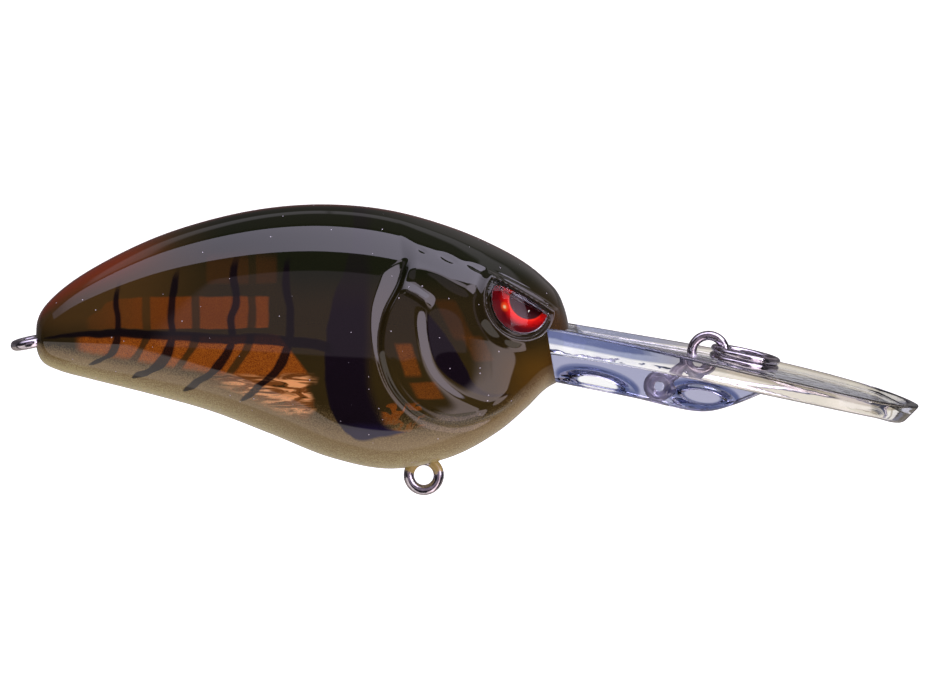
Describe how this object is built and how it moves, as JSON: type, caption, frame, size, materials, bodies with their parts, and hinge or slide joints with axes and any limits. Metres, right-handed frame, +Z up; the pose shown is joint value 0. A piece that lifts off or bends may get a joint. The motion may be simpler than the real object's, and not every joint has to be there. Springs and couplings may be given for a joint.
{
  "type": "crankbait lure",
  "caption": "Deep-diving crankbait: hollow deep-bellied body, long clear diving bill with a towing eye and split ring, wire hook eyes at belly and tail, domed eyes and sealed rattles.",
  "frame": {"origin": "centre of the towing eye where the line is tied", "axes": "+X toward the tip of the bill, +Y to the lure's left, +Z up"},
  "size_m": [0.1026, 0.0228, 0.0329],
  "materials": {
    "painted_body": "green, olive and copper craw stripes under a thick clear coat",
    "clear_polycarbonate": "clear moulded polycarbonate, polished",
    "black_nickel_wire": "black nickel plated stainless wire",
    "plated_eye": "plated rim with a red foil floor",
    "red_eye_lens": "clear dome with a printed pupil over red",
    "brass_weight": "turned slug",
    "steel_ball": "polished bearing ball"
  },
  "bodies": {
    "lure": {"right_shell": "painted_body", "left_shell": "painted_body", "diving_bill": "clear_polycarbonate", "line_tie_wire": "black_nickel_wire", "belly_hanger": "black_nickel_wire", "tail_hanger": "black_nickel_wire", "right_eye_cup": "plated_eye", "left_eye_cup": "plated_eye", "right_eye_lens": "red_eye_lens", "left_eye_lens": "red_eye_lens", "belly_ballast": "brass_weight", "throat_ballast": "brass_weight"},
    "ring": {"split_ring": "black_nickel_wire"},
    "tail_ball": {"tail_rattle_ball": "steel_ball"},
    "middle_ball": {"middle_rattle_ball": "steel_ball"},
    "head_ball": {"head_rattle_ball": "steel_ball"}
  },
  "joints": [
    {"name": "ring_swing", "type": "hinge", "parent": "lure", "child": "ring", "pos_m": [0, 0, 0], "axis": [0, -1, 0], "range_deg": [0, 130]},
    {"name": "tail_ball_roll", "type": "slide", "parent": "lure", "child": "tail_ball", "axis": [1, 0, 0], "range_m": [0, 0.004]},
    {"name": "middle_ball_roll", "type": "slide", "parent": "lure", "child": "middle_ball", "axis": [1, 0, 0], "range_m": [0, 0.0055]},
    {"name": "head_ball_roll", "type": "slide", "parent": "lure", "child": "head_ball", "axis": [1, 0, 0], "range_m": [0, 0.0036]}
  ]
}
